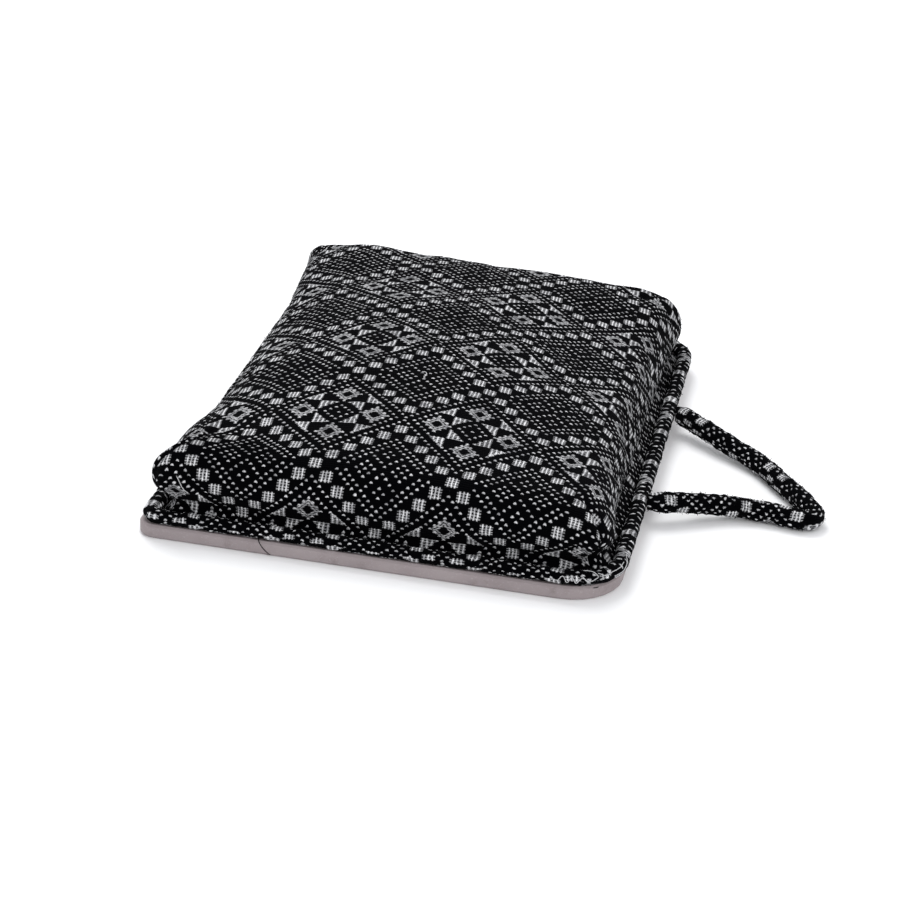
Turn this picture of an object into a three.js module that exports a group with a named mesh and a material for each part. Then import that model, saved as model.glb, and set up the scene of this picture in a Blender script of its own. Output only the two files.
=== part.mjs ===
// Laptop pillow: a rigid board with a filled, woven-cloth cushion on one face, piping round the
// cushion's foot and a padded carrying handle. It lies board down. Millimetres, +Z up.
// Origin: middle of the board's underside. X runs along the short side, towards the handle,
// and Y along the long side.
import * as THREE from "three";

// Board
const BOARD_WIDTH = 330;
const BOARD_LENGTH = 432;
const BOARD_THICKNESS = 10;
const HANDLE_SIDE_RADIUS = 38;
const PLAIN_SIDE_RADIUS = 12;
const BOARD_EASING = 1.5;

// Piping round the cushion's foot
const PIPING_RADIUS = 5.5;
const PIPING_OVERHANG = 0.5;
const PIPING_SIDES = 12;

// The sewn cover sits a little off the board's middle, pulled towards the handle
const COVER_SHIFT = 2.7;

// Gap between pieces that touch
const GAP = 0.3;

// Handle
const HANDLE_RADIUS = 7.5;
const HANDLE_SIDES = 12;
const HANDLE_STEPS = 64;

// Cushion: each row is one level of the wall, from the foot to the top edge. height is above the
// board, inset is from the board's edge at the corners, draw is how much further the middle of a
// long side is pulled in, and the radii round the two kinds of corner.
const WALL = [
  { height: 0.3, inset: 12, draw: 0, plainRadius: 4, handleRadius: 27 },
  { height: 2.5, inset: 11.1, draw: 0, plainRadius: 4, handleRadius: 27 },
  { height: 8.5, inset: 11, draw: 0.4, plainRadius: 4, handleRadius: 27 },
  { height: 12, inset: 9.4, draw: 2.5, plainRadius: 6, handleRadius: 28 },
  { height: 18, inset: 6.4, draw: 8, plainRadius: 8, handleRadius: 29 },
  { height: 26, inset: 5.4, draw: 14, plainRadius: 8, handleRadius: 29 },
  { height: 35, inset: 7.4, draw: 15, plainRadius: 7, handleRadius: 27 },
  { height: 44, inset: 11.4, draw: 14, plainRadius: 6, handleRadius: 25 },
  { height: 51, inset: 17.5, draw: 12, plainRadius: 6, handleRadius: 23 },
  { height: 56, inset: 26.5, draw: 10, plainRadius: 8, handleRadius: 22 },
];
const WALL_STEPS = 24;
const CROWN_RISE = 20;
const CROWN_STEPS = 10;
const END_DRAW_SHARE = 0.4;
const CORNER_STEPS = 7;
const LONG_SIDE_STEPS = 24;
const SHORT_SIDE_STEPS = 18;

// Unevenness of the filling: the pad is fuller along the plain side and at its front corner, and
// it has settled a little beside the handle
const TILT_PER_MM = -0.028;
const HANDLE_CORNER_DROP = 3;
const SHOULDER = { y: -158, spread: 42, push: 3 };
const HOLLOW = { x: 95, y: 50, spread: 90, depth: 6 };

const MATERIALS = {
  board: new THREE.MeshStandardMaterial({ color: 0x9d8f8b, roughness: 0.75, metalness: 0 }),
  cushion: new THREE.MeshStandardMaterial({ color: 0x2b2b2e, roughness: 0.95, metalness: 0 }),
  piping: new THREE.MeshStandardMaterial({ color: 0x3a3a3d, roughness: 0.95, metalness: 0 }),
  handle: new THREE.MeshStandardMaterial({ color: 0x303033, roughness: 0.95, metalness: 0 }),
};

// Rounded rectangle as a list of points, counter-clockwise from the plain front corner. Every
// outline has the same number of points, so that outlines can be joined level by level.
function outline(halfX, halfY, plainRadius, handleRadius) {
  const corners = [
    { x: -halfX, y: -halfY, radius: plainRadius, turn: Math.PI, steps: SHORT_SIDE_STEPS },
    { x: halfX, y: -halfY, radius: handleRadius, turn: 1.5 * Math.PI, steps: LONG_SIDE_STEPS },
    { x: halfX, y: halfY, radius: handleRadius, turn: 0, steps: SHORT_SIDE_STEPS },
    { x: -halfX, y: halfY, radius: plainRadius, turn: 0.5 * Math.PI, steps: LONG_SIDE_STEPS },
  ];
  const arcs = corners.map((corner) => {
    const centreX = corner.x - Math.sign(corner.x) * corner.radius;
    const centreY = corner.y - Math.sign(corner.y) * corner.radius;
    const arc = [];
    for (let step = 0; step <= CORNER_STEPS; step += 1) {
      const angle = corner.turn + (0.5 * Math.PI * step) / CORNER_STEPS;
      arc.push(
        new THREE.Vector2(
          centreX + corner.radius * Math.cos(angle),
          centreY + corner.radius * Math.sin(angle),
        ),
      );
    }
    return arc;
  });
  const points = [];
  arcs.forEach((arc, index) => {
    points.push(...arc);
    const last = arc[arc.length - 1];
    const next = arcs[(index + 1) % arcs.length][0];
    const sideSteps = corners[index].steps;
    for (let step = 1; step < sideSteps; step += 1) {
      points.push(last.clone().lerp(next, step / sideSteps));
    }
  });
  return points;
}

// Closed body from a stack of rings of equal length: a flat cap below and a point or cap on top
function loft(rings, apex) {
  const count = rings[0].length;
  const positions = [];
  rings.forEach((ring) => ring.forEach((point) => positions.push(point.x, point.y, point.z)));
  const bottom = rings.length * count;
  positions.push(0, 0, rings[0][0].z);
  const top = bottom + 1;
  positions.push(apex.x, apex.y, apex.z);
  const indices = [];
  for (let level = 0; level < rings.length - 1; level += 1) {
    for (let step = 0; step < count; step += 1) {
      const here = level * count + step;
      const beside = level * count + ((step + 1) % count);
      indices.push(here, beside, beside + count);
      indices.push(here, beside + count, here + count);
    }
  }
  const lastLevel = (rings.length - 1) * count;
  for (let step = 0; step < count; step += 1) {
    const beside = (step + 1) % count;
    indices.push(bottom, beside, step);
    indices.push(top, lastLevel + step, lastLevel + beside);
  }
  const geometry = new THREE.BufferGeometry();
  geometry.setAttribute("position", new THREE.Float32BufferAttribute(positions, 3));
  geometry.setIndex(indices);
  geometry.computeVertexNormals();
  return geometry;
}

// The board: a rounded panel whose edges are slightly eased above and below
function boardGeometry() {
  const levels = [
    { height: 0, inset: BOARD_EASING },
    { height: BOARD_EASING, inset: 0 },
    { height: BOARD_THICKNESS - BOARD_EASING, inset: 0 },
    { height: BOARD_THICKNESS, inset: BOARD_EASING },
  ];
  const rings = levels.map(({ height, inset }) =>
    outline(
      BOARD_WIDTH / 2 - inset,
      BOARD_LENGTH / 2 - inset,
      PLAIN_SIDE_RADIUS - inset,
      HANDLE_SIDE_RADIUS - inset,
    ).map((point) => new THREE.Vector3(point.x, point.y, height)),
  );
  return loft(rings, new THREE.Vector3(0, 0, BOARD_THICKNESS));
}

// The wall's table as smooth curves over its length, 0 at the foot and 1 at the top edge
function wallLevel(share) {
  const columns = Object.keys(WALL[0]);
  const place = share * (WALL.length - 1);
  const index = Math.min(Math.floor(place), WALL.length - 2);
  const t = place - index;
  const level = {};
  columns.forEach((column) => {
    const at = (row) => WALL[Math.min(Math.max(row, 0), WALL.length - 1)][column];
    const before = at(index - 1);
    const from = at(index);
    const to = at(index + 1);
    const after = at(index + 2);
    const slopeFrom = (to - before) / 2;
    const slopeTo = (after - from) / 2;
    level[column] =
      (2 * t ** 3 - 3 * t ** 2 + 1) * from +
      (t ** 3 - 2 * t ** 2 + t) * slopeFrom +
      (3 * t ** 2 - 2 * t ** 3) * to +
      (t ** 3 - t ** 2) * slopeTo;
  });
  return level;
}

// How far a point of the wall is pulled in between the corners, and let out at the shoulder
function drawIn(point, draw) {
  const alongX = 1 - Math.min(1, Math.abs(point.x) / (BOARD_WIDTH / 2)) ** 2;
  const alongY = 1 - Math.min(1, Math.abs(point.y) / (BOARD_LENGTH / 2)) ** 2;
  const shoulder =
    point.x < 0 ? SHOULDER.push * Math.exp(-(((point.y - SHOULDER.y) / SHOULDER.spread) ** 2)) : 0;
  const share = draw / 15;
  return new THREE.Vector2(
    point.x - Math.sign(point.x) * alongY * draw - share * shoulder * (1 - alongX),
    point.y - Math.sign(point.y) * alongX * draw * END_DRAW_SHARE,
  );
}

// Height of the pad's upper part: tilted a little, and lower at the handle side's corners
function settle(x, y, height) {
  const fullness = THREE.MathUtils.smoothstep(height, 12, 45);
  const cornerX = THREE.MathUtils.smoothstep(x, 0.55 * BOARD_WIDTH * 0.5, BOARD_WIDTH / 2);
  const cornerY = THREE.MathUtils.smoothstep(Math.abs(y), 0.3 * BOARD_LENGTH, BOARD_LENGTH / 2);
  const drop = HANDLE_CORNER_DROP * cornerX * cornerY;
  const away = Math.hypot(x - HOLLOW.x, y - HOLLOW.y) / HOLLOW.spread;
  const hollow = HOLLOW.depth * Math.exp(-(away ** 2));
  return BOARD_THICKNESS + height + fullness * (TILT_PER_MM * x - drop - hollow);
}

// How far the crown stands above its edge: nothing all round, and most in the middle
function crownRise(x, y, level) {
  const cornerX = BOARD_WIDTH / 2 - level.inset;
  const cornerY = BOARD_LENGTH / 2 - level.inset;
  const reachX = cornerX - level.draw * (1 - (y / cornerY) ** 2);
  const reachY = cornerY - level.draw * END_DRAW_SHARE * (1 - (x / cornerX) ** 2);
  const acrossX = Math.max(0, 1 - (x / reachX) ** 2);
  const acrossY = Math.max(0, 1 - (y / reachY) ** 2);
  return CROWN_RISE * acrossX * acrossY;
}

// The cushion: a flat foot, a wall that swells over the piping, and a crown
function cushionGeometry() {
  const rings = [];
  for (let step = 0; step <= WALL_STEPS; step += 1) {
    const level = wallLevel(step / WALL_STEPS);
    const ring = outline(
      BOARD_WIDTH / 2 - level.inset,
      BOARD_LENGTH / 2 - level.inset,
      level.plainRadius,
      level.handleRadius,
    ).map((point) => {
      const drawn = drawIn(point, level.draw);
      const x = drawn.x + COVER_SHIFT;
      return new THREE.Vector3(x, drawn.y, settle(x, drawn.y, level.height));
    });
    rings.push(ring);
  }
  const edge = rings[rings.length - 1];
  const edgeLevel = WALL[WALL.length - 1];
  for (let step = 1; step < CROWN_STEPS; step += 1) {
    const reach = 1 - step / CROWN_STEPS;
    const ring = edge.map((point) => {
      const offX = (point.x - COVER_SHIFT) * reach;
      const y = point.y * reach;
      const height = edgeLevel.height + crownRise(offX, y, edgeLevel);
      return new THREE.Vector3(COVER_SHIFT + offX, y, settle(COVER_SHIFT + offX, y, height));
    });
    rings.push(ring);
  }
  const apexHeight = settle(COVER_SHIFT, 0, edgeLevel.height + CROWN_RISE);
  return loft(rings, new THREE.Vector3(COVER_SHIFT, 0, apexHeight));
}

// The piping: a round cord laid on the board all round the cushion's foot
function pipingGeometry() {
  const inset = PIPING_RADIUS - PIPING_OVERHANG;
  const centreHeight = BOARD_THICKNESS + GAP + PIPING_RADIUS;
  const positions = [];
  const indices = [];
  const ringOf = (offset) =>
    outline(
      BOARD_WIDTH / 2 - inset + offset,
      BOARD_LENGTH / 2 - inset + offset,
      PLAIN_SIDE_RADIUS - inset + offset,
      HANDLE_SIDE_RADIUS - inset + offset,
    );
  const rings = [];
  for (let side = 0; side < PIPING_SIDES; side += 1) {
    const angle = (2 * Math.PI * side) / PIPING_SIDES;
    const height = centreHeight + PIPING_RADIUS * Math.sin(angle);
    rings.push({ points: ringOf(PIPING_RADIUS * Math.cos(angle)), height });
  }
  const count = rings[0].points.length;
  rings.forEach(({ points, height }) =>
    points.forEach((point) => positions.push(point.x + COVER_SHIFT, point.y, height)),
  );
  for (let side = 0; side < PIPING_SIDES; side += 1) {
    const nextSide = (side + 1) % PIPING_SIDES;
    for (let step = 0; step < count; step += 1) {
      const beside = (step + 1) % count;
      const a = side * count + step;
      const b = side * count + beside;
      const c = nextSide * count + beside;
      const d = nextSide * count + step;
      indices.push(a, b, c);
      indices.push(a, c, d);
    }
  }
  const geometry = new THREE.BufferGeometry();
  geometry.setAttribute("position", new THREE.Float32BufferAttribute(positions, 3));
  geometry.setIndex(indices);
  geometry.computeVertexNormals();
  return geometry;
}

// The handle's route, from one sewn end to the other. Its ends meet the piping at mid height,
// and its free bend sinks until it lies on the surface below.
const HANDLE_ROUTE = [
  { x: 168.7, y: 70, sink: 0 },
  { x: 171.5, y: 70, sink: 0 },
  { x: 186, y: 60, sink: 0.15 },
  { x: 202, y: 48, sink: 0.4 },
  { x: 219, y: 36, sink: 0.7 },
  { x: 234, y: 25, sink: 0.9 },
  { x: 246, y: 11, sink: 1 },
  { x: 258, y: -5, sink: 1 },
  { x: 270, y: -21, sink: 1 },
  { x: 280, y: -37, sink: 1 },
  { x: 286.5, y: -51, sink: 1 },
  { x: 284, y: -59.5, sink: 1 },
  { x: 272, y: -59, sink: 1 },
  { x: 256, y: -56, sink: 1 },
  { x: 240, y: -55.5, sink: 0.95 },
  { x: 222, y: -60, sink: 0.7 },
  { x: 204, y: -68, sink: 0.4 },
  { x: 188, y: -77, sink: 0.15 },
  { x: 171.5, y: -84, sink: 0 },
  { x: 168.7, y: -84, sink: 0 },
];

function handleGeometry() {
  const rootHeight = BOARD_THICKNESS + GAP + PIPING_RADIUS;
  const floorHeight = HANDLE_RADIUS + GAP;
  const points = HANDLE_ROUTE.map(
    ({ x, y, sink }) => new THREE.Vector3(x, y, rootHeight + (floorHeight - rootHeight) * sink),
  );
  const route = new THREE.CatmullRomCurve3(points, false, "centripetal");
  const section = new THREE.Shape();
  for (let side = 0; side < HANDLE_SIDES; side += 1) {
    const angle = (2 * Math.PI * side) / HANDLE_SIDES;
    const x = HANDLE_RADIUS * Math.cos(angle);
    const y = HANDLE_RADIUS * Math.sin(angle);
    if (side === 0) {
      section.moveTo(x, y);
    } else {
      section.lineTo(x, y);
    }
  }
  section.closePath();
  return new THREE.ExtrudeGeometry(section, {
    steps: HANDLE_STEPS,
    bevelEnabled: false,
    extrudePath: route,
  });
}

function named(name, geometry) {
  const mesh = new THREE.Mesh(geometry, MATERIALS[name]);
  mesh.name = name;
  return mesh;
}

const laptopPillow = new THREE.Group();
laptopPillow.name = "laptop_pillow";
laptopPillow.add(named("board", boardGeometry()));
laptopPillow.add(named("cushion", cushionGeometry()));
laptopPillow.add(named("piping", pipingGeometry()));
laptopPillow.add(named("handle", handleGeometry()));

export default laptopPillow;
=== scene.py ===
"""A laptop pillow: a fibreboard panel, a filled cushion in patterned cloth, a corded edge and a loop."""

import math
import random

import bpy
import numpy as np
from mathutils import Matrix, Vector
from mathutils.bvhtree import BVHTree
from mathutils.noise import noise as gradient_noise


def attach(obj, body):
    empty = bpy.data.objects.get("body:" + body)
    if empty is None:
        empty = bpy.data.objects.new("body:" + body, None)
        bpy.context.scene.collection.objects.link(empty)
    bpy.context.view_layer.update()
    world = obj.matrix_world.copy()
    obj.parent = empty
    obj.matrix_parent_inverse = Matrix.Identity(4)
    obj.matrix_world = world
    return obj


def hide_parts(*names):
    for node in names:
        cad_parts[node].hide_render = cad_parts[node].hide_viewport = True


# Sizes are in millimetres, but for those of the camera, the lights and the materials, which are in metres
MM = 0.001

# The board, and where the cloth pieces stand on it
BOARD_WIDTH = 330
BOARD_LENGTH = 432
BOARD_THICKNESS = 10
HANDLE_SIDE_RADIUS = 38
PLAIN_SIDE_RADIUS = 12
COVER_SHIFT = 2.7

# The cushion's wall from the board up: height, inset from the board's outline, draw-in of the long sides,
# corner radius on the plain side and on the handle side. The foot is tucked in behind the corded edge.
WALL = [
    (0.3, 9, 0, 4, 28),
    (2.5, 11.5, 0, 4, 28),
    (8.5, 16, 0.4, 4, 27),
    (12, 16, 2.5, 6, 28),
    (18, 11.5, 6.5, 8, 29),
    (26, 7, 13, 8, 29),
    (35, 7.4, 15, 7, 27),
    (44, 11.4, 14, 6, 25),
    (51, 17.5, 12, 6, 23),
    (56, 26.5, 10, 8, 22),
]
FOOT_GAP = 0.3
CROWN_RISE = 20

# Numbers of faces over the cushion
STEPS_PER_LEVEL = 6
CORNER_STEPS = 20
LONG_SIDE_STEPS = 176
SHORT_SIDE_STEPS = 134
CROWN_STEPS = 72

# How the sides draw in between the corners, and how the left side is pushed out at its front shoulder
END_DRAW_SHARE = 0.4
MIDDLE_SPREAD = 60
SHOULDER_DRAW = 15
SHOULDER_Y = -158
SHOULDER_SPREAD = 42
SHOULDER_PUSH = 3

# How the top of the left side leans in over its front half: how far, and where this sets in and ends
LEAN = 6
LEAN_FRONT = (-202, -180)
LEAN_BACK = (-15, -85)
LEAN_HEIGHT = (32, 56)
LEAN_X = (-60, -130)

# How the filling lies: a tilt of the top, low corners on the handle side, a hollow and a higher back
FILLED_HEIGHT = (12, 45)
TILT_PER_MM = -0.028
HANDLE_CORNER_DROP = 3
LOW_CORNER_X = (0.275 * BOARD_WIDTH, BOARD_WIDTH / 2)
LOW_CORNER_Y = (0.3 * BOARD_LENGTH, BOARD_LENGTH / 2)
HOLLOW_X = 95
HOLLOW_Y = 50
HOLLOW_SPREAD = 90
HOLLOW_DEPTH = 6
BACK_RISE = 5.5
BACK_RISE_X = (-140, -90)
BACK_RISE_Y = (100, 185)

# Folds of the cover: where each starts and ends, its width, and how far it stands out of the cloth or,
# where negative, sinks into it
FOLDS = [
    ((-160, -212, 28), (-142, -210, 30), 4.5, -5),
    ((-142, -210, 30), (-130, -208, 22), 4, -3.5),
    ((-130, -208, 22), (-112, -206, 21), 4, -2.5),
    ((-147, -207, 47), (-131, -210, 34), 3, 2),
    ((-131, -210, 34), (-119, -208, 26), 3.5, 2),
    ((-139, -208, 50), (-118, -208, 31), 3, -2.5),
    ((-150, -209, 24), (-139, -208, 21), 3, 2.5),
    ((-126, -206, 16), (-116, -207, 23), 3, 2),
    ((-156, -188, 42), (-158, -170, 28), 6, -3),
    ((-156, -203, 50), (-160, -203, 26), 13, 4),
    ((118, -209, 35), (132, -209, 45), 6, 1.5),
    ((122, -208, 24), (135, -209, 33), 4.5, -3.5),
    ((135, -209, 33), (148, -205, 27), 4.5, -3),
    ((100, -208, 18), (122, -208, 24), 4, -2),
    ((112, 189, 70), (138, 186, 66), 5, 0.8),
    ((138, 186, 66), (155, 180, 46), 4, 1),
    ((112, 176, 70), (138, 171, 64), 4, -2),
    ((138, 171, 64), (151, 163, 46), 4, -2.5),
    ((-142, 188, 64), (-147, 194, 57), 6, 1.5),
    ((-128, 184, 68), (-143, 172, 58), 4, -2),
    ((-104, -207, 30), (-84, -206, 19), 4, -1.5),
    ((-100, -206, 16), (-62, -205, 24), 4, -2),
    ((-30, -206, 18), (-8, -207, 27), 4, -1.5),
    ((70, -206, 17), (88, -207, 30), 4.5, -2),
    ((12, -206, 16), (58, -206, 24), 4, -2),
    ((150, -70, 18), (140, -22, 50), 6, -2),
    ((148, 58, 20), (140, 98, 52), 6, -2),
    ((-140, -66, 18), (-130, -20, 50), 6, -2),
    ((-141, 36, 20), (-132, 82, 50), 6, -2),
    ((-70, 207, 18), (-30, 208, 34), 5, -2),
    ((40, 207, 16), (96, 208, 26), 5, -2),
    ((-120, 208, 22), (-136, 208, 40), 5, -2.5),
]
SEAM_WIDTH = 2.4
SEAM_DEPTH = 1.8
SEAM_REACH = 14
LUMP_SPAN = 42
LUMP_RISE = 1.6
PUCKER_SPAN = 13
PUCKER_RISE = 0.6

# Heights between which the folds, seams and lumps set in over the flat foot
FLAT_FOOT = (BOARD_THICKNESS + 1, BOARD_THICKNESS + 8)


def smoothstep(value, low, high):
    """0 up to low and 1 from high on, smooth between. With low above high it falls instead."""
    share = np.clip((value - low) / (high - low), 0, 1)
    return share * share * (3 - 2 * share)


def bell(away):
    """1 at no distance, and almost 0 from twice the unit of distance on."""
    return np.exp(-(away**2))


def wall_level(share):
    """Row of the wall at a share of its way up, on a smooth curve through the table."""
    last = len(WALL) - 1
    place = share * last
    index = min(int(place), last - 1)
    along = place - index
    before, start, end, after = [
        np.array(WALL[min(max(index + offset, 0), last)])
        for offset in (-1, 0, 1, 2)
    ]
    return 0.5 * (
        2 * start
        + (end - before) * along
        + (2 * before - 5 * start + 4 * end - after) * along**2
        + (3 * start - before - 3 * end + after) * along**3
    )


def outline(half_x, half_y, plain_radius, handle_radius):
    """Points round a rounded rectangle, counter-clockwise from the front left corner."""
    quarter = 0.5 * math.pi
    corners = [
        (-half_x, -half_y, plain_radius, 2 * quarter, SHORT_SIDE_STEPS),
        (half_x, -half_y, handle_radius, 3 * quarter, LONG_SIDE_STEPS),
        (half_x, half_y, handle_radius, 0, SHORT_SIDE_STEPS),
        (-half_x, half_y, plain_radius, quarter, LONG_SIDE_STEPS),
    ]
    arcs = []
    for x, y, radius, turn, _ in corners:
        centre = np.array([x - math.copysign(radius, x), y - math.copysign(radius, y)])
        angles = turn + quarter * np.arange(CORNER_STEPS + 1) / CORNER_STEPS
        arcs.append(centre + radius * np.stack([np.cos(angles), np.sin(angles)], 1))
    points = []
    for index, arc in enumerate(arcs):
        steps = corners[index][4]
        following = arcs[(index + 1) % 4][0]
        shares = np.arange(1, steps)[:, None] / steps
        points += [arc, arc[-1] * (1 - shares) + following * shares]
    return np.concatenate(points)


def draw_in(points, draw):
    """Pulls the middles of the sides in between the corners, and pushes the left shoulder out."""
    x, y = points.T
    along_x = 1 - np.minimum(1, np.abs(x) / (BOARD_WIDTH / 2)) ** 2
    along_y = 1 - np.minimum(1, np.abs(y) / (BOARD_LENGTH / 2)) ** 2
    shoulder = SHOULDER_PUSH * bell((y - SHOULDER_Y) / SHOULDER_SPREAD) * (x < 0)
    inward_x = np.clip(x / MIDDLE_SPREAD, -1, 1)
    inward_y = np.clip(y / MIDDLE_SPREAD, -1, 1)
    moved_x = x - inward_x * along_y * draw - draw / SHOULDER_DRAW * shoulder * (1 - along_x)
    moved_y = y - inward_y * along_x * draw * END_DRAW_SHARE
    return np.stack([moved_x, moved_y], 1)


def lean_in(x, y, height):
    """How far the top of the left side leans in over the front half."""
    window = smoothstep(y, *LEAN_FRONT) * smoothstep(y, *LEAN_BACK)
    return LEAN * smoothstep(height, *LEAN_HEIGHT) * window * smoothstep(x, *LEAN_X)


def settle(x, y, height):
    """Height above the surface below of a point of the cushion, as its filling lies."""
    fullness = smoothstep(height, *FILLED_HEIGHT)
    corner_x = smoothstep(x, *LOW_CORNER_X)
    corner_y = smoothstep(np.abs(y), *LOW_CORNER_Y)
    away = np.hypot(x - HOLLOW_X, y - HOLLOW_Y) / HOLLOW_SPREAD
    sunk = HANDLE_CORNER_DROP * corner_x * corner_y + HOLLOW_DEPTH * bell(away)
    back = BACK_RISE * smoothstep(y, *BACK_RISE_Y) * smoothstep(x, *BACK_RISE_X)
    return BOARD_THICKNESS + height + fullness * (TILT_PER_MM * x - sunk + back)


def crown_rise(x, y, level):
    """How far the crown stands over its rim."""
    _, inset, draw, _, _ = level
    corner_x = BOARD_WIDTH / 2 - inset
    corner_y = BOARD_LENGTH / 2 - inset
    reach_x = corner_x - draw * (1 - (y / corner_y) ** 2)
    reach_y = corner_y - draw * END_DRAW_SHARE * (1 - (x / corner_x) ** 2)
    return CROWN_RISE * np.clip(1 - (x / reach_x) ** 2, 0, 1) * np.clip(1 - (y / reach_y) ** 2, 0, 1)


def wall_ring(level):
    """Points round the wall at one level."""
    height, inset, draw, plain_radius, handle_radius = level
    flat = outline(BOARD_WIDTH / 2 - inset, BOARD_LENGTH / 2 - inset, plain_radius, handle_radius)
    flat = draw_in(flat, draw)
    y = flat[:, 1]
    x = flat[:, 0] + COVER_SHIFT + lean_in(flat[:, 0], y, height)
    return np.stack([x, y, settle(x, y, height)], 1)


def cushion_rings():
    """Rings of points from the foot up the wall and over the crown, and the number of the rim's ring."""
    rim_number = (len(WALL) - 1) * STEPS_PER_LEVEL
    rings = [wall_ring(wall_level(step / rim_number)) for step in range(rim_number + 1)]
    rim_level = np.array(WALL[-1])
    rim = rings[-1]
    for step in range(1, CROWN_STEPS):
        share = 1 - step / CROWN_STEPS
        x = COVER_SHIFT + (rim[:, 0] - COVER_SHIFT) * share
        y = rim[:, 1] * share
        height = rim_level[0] + crown_rise(x - COVER_SHIFT, y, rim_level)
        rings.append(np.stack([x, y, settle(x, y, height)], 1))
    return np.array(rings), rim_number


def corner_columns():
    """Columns in the middle of the front left, front right, back right and back left corners."""
    short = CORNER_STEPS + SHORT_SIDE_STEPS
    long = CORNER_STEPS + LONG_SIDE_STEPS
    return np.cumsum([CORNER_STEPS // 2, short, long, short])


def side_of_columns(columns):
    """Side of the cushion that each column of faces belongs to: 0 left, 1 front, 2 right, 3 back."""
    corners = corner_columns()
    sides = np.zeros(columns, int)
    for side in (1, 2, 3):
        sides[corners[side - 1] : corners[side]] = side
    return sides


def outward(rings):
    """Unit normals of a grid of rings, out of the filling."""
    around = np.roll(rings, -1, 1) - np.roll(rings, 1, 1)
    normals = np.cross(around, np.gradient(rings, axis=0))
    return normals / np.linalg.norm(normals, axis=2, keepdims=True)


def fold_rise(points):
    """Folds and creases, each along a straight run."""
    rise = np.zeros(points.shape[:2])
    for start, end, width, height in FOLDS:
        run = np.subtract(end, start)
        share = np.clip((points - start) @ run / (run @ run), 0, 1)
        away = np.linalg.norm(points - start - share[..., None] * run, axis=2)
        rise += height * bell(away / width)
    return rise


def seam_rise(rings, rim):
    """The seam in each corner, from the board to a little way over the rim."""
    over = np.linalg.norm(rings[:, 0] - rings[rim, 0], axis=1)
    over[:rim] = 0
    fade = bell(over / SEAM_REACH)[:, None]
    rise = np.zeros(rings.shape[:2])
    for column in corner_columns():
        away = np.linalg.norm(rings - rings[:, column : column + 1], axis=2)
        rise -= SEAM_DEPTH * fade * bell(away / SEAM_WIDTH)
    return rise


def lump_rise(rings):
    """Unevenness of the filling and slight puckers of the cloth."""
    places = [Vector(place) for place in rings.reshape(-1, 3)]
    rise = [
        LUMP_RISE * gradient_noise(place / LUMP_SPAN) + PUCKER_RISE * gradient_noise(place / PUCKER_SPAN)
        for place in places
    ]
    return np.reshape(rise, rings.shape[:2])


def rumpled(rings, rim):
    """The same rings with folds, seams and lumps, and the foot left flat on the board."""
    rise = fold_rise(rings) + seam_rise(rings, rim) + lump_rise(rings)
    rise *= smoothstep(rings[..., 2], *FLAT_FOOT)
    return rings + rise[..., None] * outward(rings)


# One quarter of the woven repeat, charted. Each letter is one cell of the cloth. The first row runs
# through the middle of the dotted diamond and the last through the middle of the star. o is a dot.
CHART = [
    "..o.o.o.........",
    "o..o.o..o.o.....",
    ".o..o..o.o......",
    "..o...o.o.......",
    "o..o.o.o........",
    ".o..o.o.........",
    "o..o.o.........o",
    "..o.o.........o.",
    ".o.o.........o.o",
    "o.o.........o.o.",
    ".o.........o.o..",
    "o.........o.o...",
    ".........o...o..",
    "........o.....o.",
    ".......o.......o",
    "......o.........",
    ".....o.o.......o",
    "....o.o.o.....o.",
    "...o.o...o...o..",
    "..o.o.....o.o..o",
]
CHART_DOT = "o"
CHART_COLUMNS = 15
CHART_ROWS = 19
CELL_X = 3.2
CELL_Y = 3.016
REPEAT_X = 2 * CHART_COLUMNS * CELL_X
REPEAT_Y = 2 * CHART_ROWS * CELL_Y
CLOTH_MAP = "cloth"

# Where the middle of one dotted diamond lies on the cushion
PATTERN_X = 0.6
PATTERN_Y = -73.2

# How the sewn cloth lies skewed over the filling: power of x, power of y, and the shift along x and y,
# with x and y as shares of the spans below
EASE = [
    (0, 0, 0, 0.8),
    (1, 0, 2.1, -1.3),
    (0, 1, 4.1, 2.4),
    (2, 0, -2.7, 15),
    (1, 1, -1.7, 2.3),
    (0, 2, 5.5, 5.8),
]
EASE_SPAN_X = 150
EASE_SPAN_Y = 200

# Along the left edge the cloth was pulled back further
EDGE_SLIP = 10
EDGE_SLIP_X = (-98, -132)
EDGE_SLIP_Y = (-188, -150)

# Over the front left shoulder it was pulled forward and out
SHOULDER_SLIP_X = -4.5
SHOULDER_SLIP_Y = 13
SHOULDER_SLIP_PLACE = (-113, -175)
SHOULDER_SLIP_REACH = (42, 22)

# The left, front, right and back side: the axis that each faces along, 0 for x and 1 for y, and which way
SIDE_DIRECTIONS = ((0, -1), (1, -1), (0, 1), (1, 1))


def cloth_places(points):
    """Places on the woven cloth, in repeats, of points of a cloth that lies flat over the filling."""
    at_x, at_y = np.asarray(points, float).T
    x = at_x
    y = at_y
    across = at_x / EASE_SPAN_X
    along = at_y / EASE_SPAN_Y
    for power_x, power_y, shift_x, shift_y in EASE:
        share = across**power_x * along**power_y
        x = x + share * shift_x
        y = y + share * shift_y
    y = y + EDGE_SLIP * smoothstep(at_x, *EDGE_SLIP_X) * smoothstep(at_y, *EDGE_SLIP_Y)
    place_x, place_y = SHOULDER_SLIP_PLACE
    reach_x, reach_y = SHOULDER_SLIP_REACH
    shoulder = np.exp(-(((at_x - place_x) / reach_x) ** 2) - ((at_y - place_y) / reach_y) ** 2)
    x = x + SHOULDER_SLIP_X * shoulder
    y = y + SHOULDER_SLIP_Y * shoulder
    return np.stack([(x - PATTERN_X) / REPEAT_X, (y - PATTERN_Y) / REPEAT_Y], 1)


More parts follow.
